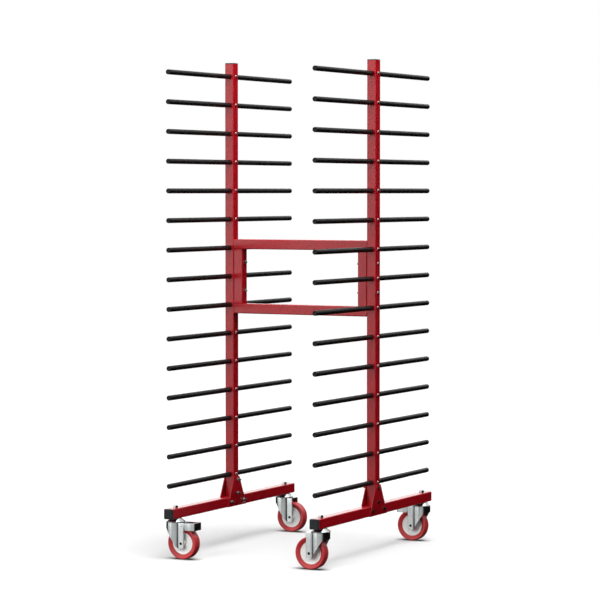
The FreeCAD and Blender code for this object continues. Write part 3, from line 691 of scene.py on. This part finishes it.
def fork_foot(u):
    """Height of the fork's lower edge: round at the rear of the leg, then up along the slant."""
    past_round = u - LEG_BACK + LEG_ROUND
    if past_round > 0:
        return LEG_BOTTOM + LEG_ROUND - math.sqrt(max(0, LEG_ROUND ** 2 - past_round ** 2))
    rise = (SLANT_TOP[1] - LEG_BOTTOM) / (SLANT_FOOT - SLANT_TOP[0])
    return min(max(LEG_BOTTOM, LEG_BOTTOM + (SLANT_FOOT - u) * rise), SLANT_TOP[1])


def squared(point, outward):
    """A point of a leg's rear bend, moved out to the square corner round the bend."""
    if outward.x <= 0 or point.x <= LEG_BACK - LEG_BEND:
        return point
    stretch = 1 / max(abs(outward.x), abs(outward.y)) - 1
    return point + LEG_BEND * outward * stretch


def fork(has_brake):
    """A deep-drawn fork: two skins joined along the rear edge, the lower edge and the kingpin hole.

    The rear edges of the legs are bent inwards, but square beside a brake lever.
    """
    plan = fork_plan()
    mirror = Vector((1, -1))
    plan += [(point * mirror, outward * mirror) for point, outward in plan[-2::-1]]
    shape = Shape()
    rear_lines = []
    foot_lines = []
    holes = []
    for inset, crown in ((0, CROWN_RADIUS), (FORK_PLATE, CROWN_INSIDE)):
        columns = []
        for point, outward in plan:
            wall = point - inset * outward
            top = FORK_TOP - inset
            foot = fork_foot(point.x)
            bend_end = max(FLANGE_TOP, foot + 1)
            column = [(*wall, foot), (*wall, bend_end)]
            if has_brake:
                wall = squared(point, outward) - inset * outward
            column.append((*wall, bend_end + 1))
            for step in range(QUARTER_STEPS + 1):
                angle = step * math.pi / 2 / QUARTER_STEPS
                rim = wall - crown * (1 - math.cos(angle)) * outward
                column.append((*rim, top - crown * (1 - math.sin(angle))))
            columns.append(shape.ring(column))
        shape.skin(columns, closed=False)
        rear_edge = []
        last = shape.corners[columns[-1][-1]]
        first = shape.corners[columns[0][-1]]
        for step in range(1, 8):
            rear_edge.append(last.lerp(first, step / 8))
        rim_line = [column[-1] for column in columns] + shape.ring(rear_edge)
        hole = []
        for number in rim_line:
            corner = shape.corners[number]
            out = Vector((corner.x, corner.y, 0)).normalized() * KINGPIN_HOLE
            hole.append((out.x, out.y, corner.z))
        hole = shape.ring(hole)
        shape.skin([rim_line, hole])
        rear_lines.append(columns[-1] + rim_line[len(columns):] + columns[0][::-1])
        foot_lines.append([column[0] for column in columns])
        holes.append(hole)
    shape.skin(rear_lines, closed=False)
    shape.skin(foot_lines, closed=False)
    shape.skin(holes)
    for side in (1, -1):
        shape.add(leg_flange(side))
    return shape


def leg_flange(side):
    """The rear edge of a leg, turned in towards the wheel below the brake lever's place."""
    in_the_leg = FORK_HALF - FORK_PLATE / 2
    rear = LEG_BACK - 0.1
    front = LEG_BACK - FORK_PLATE
    corners = [(front, in_the_leg), (rear, in_the_leg), (rear, FLANGE_DEEP), (front, FLANGE_DEEP)]
    bends = [0, 0, FLANGE_BEND, FLANGE_BEND]
    line = soften([(u, side * v) for u, v in corners], bends, 3, True)
    low = LEG_BOTTOM + LEG_ROUND
    return Shape().add(plate(line, FLANGE_TOP - low), move(0, 0, low))


HEAD_TOP = 158.5
HEAD_LOW = 136.7
HEAD_BORE = 6.2
KINGPIN_RADIUS = 12
RACE_ROOF = 148.1
SKIRT_LOW = 145.3
SKIRT_INSIDE = 33
SKIRT_RADIUS = 38.3
CONE_LOW = 146.8
CONE_TOP_RADIUS = 22.5


def swivel_head():
    """A cone over the bearing, with a kingpin that goes down through the fork."""
    line = [
        (HEAD_BORE, HEAD_LOW),
        (KINGPIN_RADIUS, HEAD_LOW),
        (KINGPIN_RADIUS, RACE_ROOF),
        (SKIRT_INSIDE, RACE_ROOF),
        (SKIRT_INSIDE, SKIRT_LOW),
        (SKIRT_RADIUS, SKIRT_LOW),
        (SKIRT_RADIUS, CONE_LOW),
        (CONE_TOP_RADIUS, HEAD_TOP),
        (HEAD_BORE, HEAD_TOP),
    ]
    return lathe(soften(line, [0, 0.5, 1, 0, 0.5, 0.7, 0.7, 2.5, 0], 4, True), 64, True)


# Wheels, drawn with their axis on Z, as lines of (radius, place along the axis)
AXLE_BORE = 4
AXLE_RADIUS = 6
AXLE_CLEARANCE = 0.04
HUB_BORE = 6.08
HUB_HALF = 22
BOSS_RADIUS = 14
WEB_HALF = 8.5
RIM_INSIDE = 39.5
RIM_HALF = 10.5
HUB_RADIUS = 43.5
TYRE_BORE = 43.52
TYRE_SHOULDER = 56
TREAD_HALF = 19


def both_ways(half_line):
    """A whole outline from its half on one side of the wheel's middle plane."""
    return half_line + [(radius, -place) for radius, place in reversed(half_line)]


def axle():
    line = both_ways([(AXLE_BORE, FORK_HALF), (AXLE_RADIUS, FORK_HALF)])
    return lathe(soften(line, [0.7, 0.5, 0.5, 0.7], 3, True), 32, True)


def axle_shade_plugs():
    """Two black plugs in the ends of the hollow axle, each with a thin dished rim on the axle's end;
    their black paints the shade inside the bore.
    """
    face = FORK_HALF + 0.05
    rim = face + 0.4
    dish = 24
    end = 21
    line = [
        (0, dish),
        (2.6, dish),
        (3.8, rim),
        (5.2, rim),
        (5.2, face),
        (3.9, face),
        (3.9, end),
        (0, end),
    ]
    plug = lathe(soften(line, [0, 0.5, 0.4, 0.2, 0, 0, 0.3, 0], 3), 28)
    return Shape().add(plug).add(plug, turn("X", 180))


def hub():
    line = both_ways([
        (HUB_BORE, HUB_HALF),
        (BOSS_RADIUS, HUB_HALF),
        (BOSS_RADIUS, WEB_HALF),
        (RIM_INSIDE, WEB_HALF),
        (RIM_INSIDE, RIM_HALF),
        (HUB_RADIUS, RIM_HALF),
    ])
    radii = [0.5, 1.5, 3, 1.6, 0.6, 0]
    return lathe(soften(line, radii + radii[::-1], 4, True), 72, True)


def tyre():
    line = both_ways([(TYRE_BORE, RIM_HALF), (TYRE_SHOULDER, TREAD_HALF), (WHEEL_RADIUS, TREAD_HALF)])
    radii = [0, 6, 3.5]
    return lathe(soften(line, radii + radii[::-1], 6, True), 96, True)


# Brakes
PIN_PLACE = (42, 132)
PIN_RADIUS = 4
PIN_CLEARANCE = 0.04
EYE_RADIUS = 6
EYE_HOLE = 4.08
LEVER_FRONT = 51.9
LEVER_END = 99
LEVER_LOW = 114.5
LEVER_CUTBACK = 3.3
LEVER_PLATE = 2.5
CHANNEL_EDGE = 0.25
CHANNEL_FOOT = 0.8
LIP_LOW = 119.5
ARM_HALF = 22
SHOE_FRONT = 70
SHOE_LOW = 123
SHOE_NOSE = (3, 2)
END_SHADE_COVER = 1.5
GROOVES = (80, 89)
GROOVE_HALF = 1.2
GROOVE_DEEP = 2


def lever_front(height):
    """The channel's front edge, which slopes back below the pin."""
    drop = max(0, PIN_PLACE[1] - height) / (PIN_PLACE[1] - LEVER_LOW)
    return LEVER_FRONT + LEVER_CUTBACK * drop


def channel_line(half, top):
    """A line up one side of the channel, across its top and down the other side."""
    return [(half, LEVER_LOW), (half, top), (-half, top), (-half, LEVER_LOW)]


def brake_channel():
    """A pressed channel, flush with the fork, with turned-in lips and two arms that end in eyes."""
    inner_half = FORK_HALF - LEVER_PLATE
    inner_top = FORK_TOP - LEVER_PLATE
    lines = channel_line(FORK_HALF, FORK_TOP) + channel_line(-inner_half, inner_top)
    bends = []
    for bend in (CROWN_RADIUS, CROWN_INSIDE):
        bends += [CHANNEL_FOOT, bend, bend, CHANNEL_FOOT]
    section = soften(lines, bends, 5, True)
    shape = Shape()
    front = shape.ring([(lever_front(point.y), point.x, point.y) for point in section])
    rear = shape.ring([(LEVER_END, point.x, point.y) for point in section])
    shape.skin([front, rear])
    half_count = len(section) // 2
    for ring in (front, rear):
        # The section folds back on itself, so its end is a strip between the outer and the inner half
        shape.skin([ring[:half_count], ring[:half_count - 1:-1]], closed=False)
    shape = softened(shape, CHANNEL_EDGE, 60)
    lip_back = LEVER_FRONT + LEVER_PLATE
    lip_inner = ARM_HALF - LEVER_PLATE
    lip = [
        (LEVER_FRONT, inner_top),
        (LEVER_FRONT, PIN_PLACE[1]),
        (lever_front(LIP_LOW), LIP_LOW),
        (lip_back, LIP_LOW),
        (lip_back, inner_top),
    ]
    # Both plates have their thickness on one side, so the far one starts from its other face
    for lip_face, arm_face in ((inner_half, lip_inner), (-lip_inner, -ARM_HALF)):
        shape.add(plate(lip, inner_half - lip_inner), move(0, lip_face, 0) @ turn("X", 90))
        shape.add(brake_arm(), move(0, arm_face, 0))
    return shape


def brake_arm():
    """One arm as a flat plate on XZ, with its thickness towards +Y and a hole for the pin."""
    eye = Vector(PIN_PLACE)
    reach = LEVER_FRONT - eye.x
    count = 36
    hole = []
    edge = []
    for step in range(count):
        angle = 2 * math.pi * step / count
        out = Vector((math.cos(angle), math.sin(angle)))
        hole.append(eye + EYE_HOLE * out)
        # Round at the eye, then straight edges back to the channel
        stretch = EYE_RADIUS
        if out.x > 0:
            stretch = min(reach / out.x, EYE_RADIUS / max(abs(out.y), 0.001))
        edge.append(eye + stretch * out)
    shape = Shape()
    rings = []
    for outline, v in ((hole, 0), (edge, 0), (edge, LEVER_PLATE), (hole, LEVER_PLATE)):
        rings.append(shape.ring([(point.x, v, point.y) for point in outline]))
    rings.append(rings[0])
    shape.skin(rings)
    return shape


def brake_block():
    """A rubber block with two grooves across its face, and a black cover over the channel's end; the
    block's black end and the cover also paint the shade of the open channel.
    """
    top = FORK_TOP - LEVER_PLATE
    half = FORK_HALF - LEVER_PLATE
    back = LEVER_END + END_SHADE_COVER - 0.2
    nose_long, nose_high = SHOE_NOSE
    line = [(SHOE_FRONT, top), (SHOE_FRONT, SHOE_LOW + nose_high), (SHOE_FRONT + nose_long, SHOE_LOW)]
    for groove in GROOVES:
        start = groove - GROOVE_HALF
        end = groove + GROOVE_HALF
        roof = SHOE_LOW + GROOVE_DEEP
        line += [(start, SHOE_LOW), (start, roof), (end, roof), (end, SHOE_LOW)]
    line += [(back, SHOE_LOW), (back, top)]
    block = Shape().add(plate(line, 2 * half), move(0, half, 0) @ turn("X", 90))
    shape = softened(block, 0.6)
    # The black cover paints the shade inside the channel's open end
    rim = soften(channel_line(FORK_HALF, FORK_TOP), [1, CROWN_RADIUS, CROWN_RADIUS, 1], 4, True)
    end_shade_cover = softened(plate(rim, END_SHADE_COVER), 0.4)
    return shape.add(end_shade_cover, move(LEVER_END, 0, 0) @ STANDING)


def brake_pin():
    line = [(0, -FORK_HALF), (PIN_RADIUS, -FORK_HALF), (PIN_RADIUS, FORK_HALF), (0, FORK_HALF)]
    return lathe(soften(line, [0, 1.2, 1.2, 0], 4), 28)


# Caster bolts
BOLT_FLANGE = 15
FLANGE_LOW = 134.2
THREAD_LOW = 200
THREAD_TOP = 209
CASTER_HEAD = hex_head(18, 7)


def caster_bolt():
    """A flanged bolt, head down, with its thread's end above the nut."""
    line = [
        (0, FLANGE_LOW),
        (BOLT_FLANGE, FLANGE_LOW),
        (BOLT_FLANGE, HEAD_LOW),
        (M12 / 2, HEAD_LOW),
        (M12 / 2, THREAD_LOW),
        (0, THREAD_LOW),
    ]
    shape = lathe(soften(line, [0, 0.8, 0.8, 0, 0, 0], 3), 40)
    shape.add(CASTER_HEAD, move(0, 0, FLANGE_LOW) @ turn("X", 180))
    return shape.add(threaded_end(M12, M12_PITCH, THREAD_LOW, THREAD_TOP))


def drilled(made, cutter):
    """A piece with a cutter's volume taken out of it."""
    tool_mesh = bpy.data.meshes.new("cutter")
    tool_mesh.from_pydata([corner * MM for corner in cutter.corners], [], cutter.faces)
    tool = bpy.data.objects.new("cutter", tool_mesh)
    bpy.context.scene.collection.objects.link(tool)
    cut = made.modifiers.new("holes", "BOOLEAN")
    cut.object = tool
    cut.operation = "DIFFERENCE"
    cut.solver = "EXACT"
    cut.use_self = True
    seen = made.evaluated_get(bpy.context.evaluated_depsgraph_get())
    mesh = bpy.data.meshes.new_from_object(seen)
    made.modifiers.clear()
    whole = made.data
    made.data = mesh
    mesh.name = made.name
    bpy.data.meshes.remove(whole)
    bpy.data.objects.remove(tool)
    bpy.data.meshes.remove(tool_mesh)


def cross_bore(radius, u, height):
    """A cutter through both legs of a fork."""
    reach = FORK_HALF + 2
    line = [(0, -reach), (radius, -reach), (radius, reach), (0, reach)]
    return Shape().add(lathe(line, 40), move(u, 0, height) @ FACING_Y)


# Each caster's corner, place, heading in degrees, and whether it has a brake
CASTERS = (
    ("left_front", -POST_X, -CASTER_Y, 0, True),
    ("right_front", POST_X, -CASTER_Y, 180, False),
    ("left_rear", -POST_X, CASTER_Y, 0, False),
    ("right_rear", POST_X, CASTER_Y, 180, True),
)
bolts = Shape()
nuts = Shape()
for corner, x, y, heading, has_brake in CASTERS:
    stand = move(x, y, 0) @ turn("Z", heading)
    at_axle = stand @ move(TRAIL, 0, WHEEL_RADIUS) @ FACING_Y
    at_pin = stand @ move(PIN_PLACE[0], 0, PIN_PLACE[1]) @ FACING_Y
    swivel = f"{corner}_swivel_body"
    wheel = f"{corner}_wheel_body"
    lever = f"{corner}_brake_body"
    head = Shape().add(swivel_head(), stand)
    piece(f"{corner}_swivel_cone", head, "zinc_plate", "frame", f"{corner}_swivel_head")
    bell = Shape().add(fork(has_brake), stand)
    shell = piece(f"{corner}_fork_shell", bell, "zinc_plate", swivel, f"{corner}_fork")
    bores = Shape().add(cross_bore(AXLE_RADIUS + AXLE_CLEARANCE, TRAIL, WHEEL_RADIUS), stand)
    if has_brake:
        bores.add(cross_bore(PIN_RADIUS + PIN_CLEARANCE, *PIN_PLACE), stand)
    drilled(shell, bores)
    piece(f"{corner}_axle_tube", Shape().add(axle(), at_axle), "bright_steel", swivel, f"{corner}_axle")
    # The black plugs paint the shade inside the hollow axle
    piece(f"{corner}_axle_shade_plugs", Shape().add(axle_shade_plugs(), at_axle), "black_shoe", swivel)
    piece(f"{corner}_hub_disc", Shape().add(hub(), at_axle), "white_hub", wheel, f"{corner}_hub")
    piece(f"{corner}_tyre_ring", Shape().add(tyre(), at_axle), "red_tyre", wheel, f"{corner}_tyre")
    if has_brake:
        channel = Shape().add(brake_channel(), stand)
        piece(f"{corner}_brake_channel", channel, "zinc_plate", lever, f"{corner}_brake_lever")
        block = Shape().add(brake_block(), stand)
        piece(f"{corner}_brake_block", block, "black_shoe", lever, f"{corner}_brake_shoe")
        pivot = Shape().add(brake_pin(), at_pin)
        piece(f"{corner}_brake_pivot", pivot, "bright_steel", swivel, f"{corner}_brake_pin")
    bolts.add(caster_bolt(), move(x, y, 0))
    nuts.add(nut(M12, M12_HEX, M12_NUT), move(x, y, BEAM_TOP) @ turn("Z", -2))
piece("caster_bolt_set", bolts, "zinc_fastener", "frame", "caster_bolts")
piece("caster_nut_set", nuts, "zinc_fastener", "frame", "caster_nuts")

# Camera at the photograph's place
camera = bpy.data.objects.new("camera", bpy.data.cameras.new("camera"))
bpy.context.scene.collection.objects.link(camera)
camera.location = (4.690, -8.883, 1.4385)
camera.rotation_euler = (math.radians(87.507), 0, math.radians(27.869))
camera.data.sensor_width = 36
camera.data.lens = 150.9
camera.data.clip_end = 200
bpy.context.scene.camera = camera
bpy.context.scene.view_settings.view_transform = "Standard"


# Studio
WHITE = (1, 1, 1, 1)


def joined(tree, operation, first, second):
    """Two values joined by a maths operation."""
    made = tree.nodes.new("ShaderNodeMath")
    made.operation = operation
    tree.links.new(first, made.inputs[0])
    tree.links.new(second, made.inputs[1])
    return made.outputs[0]


def seen_directly(tree):
    """One where a camera, glossy or transmission ray arrives, and zero elsewhere."""
    path = tree.nodes.new("ShaderNodeLightPath")
    total = path.outputs["Is Camera Ray"]
    for ray in ("Is Glossy Ray", "Is Transmission Ray"):
        total = joined(tree, "MAXIMUM", total, path.outputs[ray])
    return total


def white_world(ambient):
    """A white surround that lights the object at a lower strength."""
    world = bpy.data.worlds.new("studio")
    bpy.context.scene.world = world
    world.use_nodes = True
    tree = world.node_tree
    background = tree.nodes["Background"]
    background.inputs["Color"].default_value = WHITE
    tree.links.new(between(tree, seen_directly(tree), ambient, 1), background.inputs["Strength"])


def stage_object(name, corners, faces, material):
    mesh = bpy.data.meshes.new(name)
    mesh.from_pydata(corners, [], faces)
    mesh.materials.append(material)
    made = bpy.data.objects.new(name, mesh)
    bpy.context.scene.collection.objects.link(made)
    return made


FLOOR_REACH = 60
FLOOR_LEVEL = -0.0003
PAINTED_SHADE_REACH = 0.045


def pale_floor(middle_glow, far_glow, middle, far):
    """A white floor that keeps shadows, with painted shade from an occlusion node darkening it right
    beside what stands on it.

    Away from the middle, where less light from the lamps arrives, it glows faintly.
    """
    material = bpy.data.materials.new("pale_floor")
    material.use_nodes = True
    tree = material.node_tree
    shader = tree.nodes["Principled BSDF"]
    shader.inputs["Roughness"].default_value = 0.9
    shader.inputs["Specular IOR Level"].default_value = 0
    shader.inputs["Emission Color"].default_value = WHITE
    # Painted shade: ambient occlusion darkens the floor's colour and glow close to what stands on it
    painted_shade_occlusion = tree.nodes.new("ShaderNodeAmbientOcclusion")
    painted_shade_occlusion.inputs["Distance"].default_value = PAINTED_SHADE_REACH
    painted_contact_shade = between(tree, painted_shade_occlusion.outputs["AO"], low=0.05, high=1, least=0.35, most=0.95)
    direct = joined(tree, "MULTIPLY", seen_directly(tree), painted_contact_shade)
    tree.links.new(between(tree, direct, low=0.03, high=0.62), shader.inputs["Base Color"])
    distance = tree.nodes.new("ShaderNodeVectorMath")
    distance.operation = "LENGTH"
    tree.links.new(tree.nodes.new("ShaderNodeTexCoord").outputs["Object"], distance.inputs[0])
    glow = between(tree, distance.outputs["Value"], middle_glow, far_glow, middle, far)
    tree.links.new(joined(tree, "MULTIPLY", direct, glow), shader.inputs["Emission Strength"])
    corners = []
    for x, y in ((-1, -1), (1, -1), (1, 1), (-1, 1)):
        corners.append((x * FLOOR_REACH, y * FLOOR_REACH, FLOOR_LEVEL))
    floor = stage_object("floor", corners, [(0, 1, 2, 3)], material)
    floor.visible_glossy = False


NEAR_CARD = 30
FAR_CARD = 60
CARD_STEPS = 24


def card(name, azimuths, elevations, glow=0, distance=NEAR_CARD):
    """A large card round the set that shows only in reflections: black, or white with a glow.

    Light that a surface scatters shows no glow, so that the inside of a gap stays dark.
    """
    first_azimuth, last_azimuth = azimuths
    low, high = elevations
    width = CARD_STEPS + 1
    corners = []
    for step in range(width):
        azimuth = math.radians(first_azimuth + (last_azimuth - first_azimuth) * step / CARD_STEPS)
        for level in range(width):
            elevation = math.radians(low + (high - low) * level / CARD_STEPS)
            flat = distance * math.cos(elevation)
            rise = distance * math.sin(elevation)
            corners.append((flat * math.cos(azimuth), flat * math.sin(azimuth), rise))
    faces = []
    for step in range(CARD_STEPS):
        for level in range(CARD_STEPS):
            first = step * width + level
            faces.append((first, first + 1, first + width + 1, first + width))
    material = bpy.data.materials.new(name)
    material.use_nodes = True
    tree = material.node_tree
    shader = tree.nodes["Principled BSDF"]
    shader.inputs["Base Color"].default_value = (0.01, 0.01, 0.01, 1)
    shader.inputs["Specular IOR Level"].default_value = 0
    shader.inputs["Emission Color"].default_value = WHITE
    scattered = tree.nodes.new("ShaderNodeLightPath").outputs["Diffuse Depth"]
    tree.links.new(between(tree, scattered, glow, 0), shader.inputs["Emission Strength"])
    made = stage_object(name, corners, faces, material)
    made.visible_camera = False
    made.visible_diffuse = False
    made.visible_transmission = False
    made.visible_shadow = False


LIT_MIDDLE = Vector((0, 0, 0.9))


def soft_light(name, place, size, watts):
    """A square lamp that points at the object's middle and doesn't show in reflections."""
    light = bpy.data.objects.new(name, bpy.data.lights.new(name, "AREA"))
    light.data.shape = "RECTANGLE"
    light.data.size = size
    light.data.size_y = size
    light.data.energy = watts
    light.location = place
    aim = LIT_MIDDLE - Vector(place)
    light.rotation_euler = aim.to_track_quat("-Z", "Y").to_euler()
    light.visible_glossy = False
    bpy.context.scene.collection.objects.link(light)


white_world(ambient=0.7)
pale_floor(middle_glow=0.09, far_glow=0.58, middle=0.5, far=4)
# The studio's left side is bright and grows darker towards the right: each strip starts at an azimuth
# and has a glow below and a glow above the height at which the posts reflect it
STRIPS = (
    (-165, 0.7, 1.4),
    (-126, 1.05, 2.6),
    (-119, 0.9, 1.5),
    (-116, 0.6, 1.0),
    (-112, 0.65, 0.72),
    (-90, 0.68, 0.62),
    (-70, 0.6, 0.5),
    (-47, 0.1, 0.1),
    (-38, 0, 0),
)
RIGHT_END = 40
STRIP_SPLIT = -3
CARD_LOW = -25
CARD_HIGH = 60
strip_ends = [strip[0] for strip in STRIPS[1:]] + [RIGHT_END]
for (strip_start, low_glow, high_glow), strip_end in zip(STRIPS, strip_ends):
    azimuths = (strip_start, strip_end)
    card(f"low_strip_{-strip_start}", azimuths, (CARD_LOW, STRIP_SPLIT), low_glow)
    card(f"high_strip_{-strip_start}", azimuths, (STRIP_SPLIT, CARD_HIGH), high_glow)
# Flat tops reflect the back, dark low down and bright above a line
BACK_LINE = 5.3
BRIGHT_LOW = 19
card("rear_right_card", (RIGHT_END, 85), (CARD_LOW, BRIGHT_LOW))
card("back_card", (85, 150), (CARD_LOW, BACK_LINE), 0, FAR_CARD)
card("left_card", (150, 195), (CARD_LOW, CARD_HIGH))
card("under_card", (-180, 180), (-89, CARD_LOW))
card("overhead_card", (-180, 180), (CARD_HIGH, 89), 3)
card("low_bright_card", (95, 150), (BACK_LINE, BRIGHT_LOW), 2.3, FAR_CARD)
card("high_bright_card", (RIGHT_END, 70), (BRIGHT_LOW, 45), 1.6)
soft_light("top_light", (0.8, -0.3, 4.0), size=3.0, watts=215)
soft_light("front_light", (-0.8, -5.5, 2.4), size=3.4, watts=185)
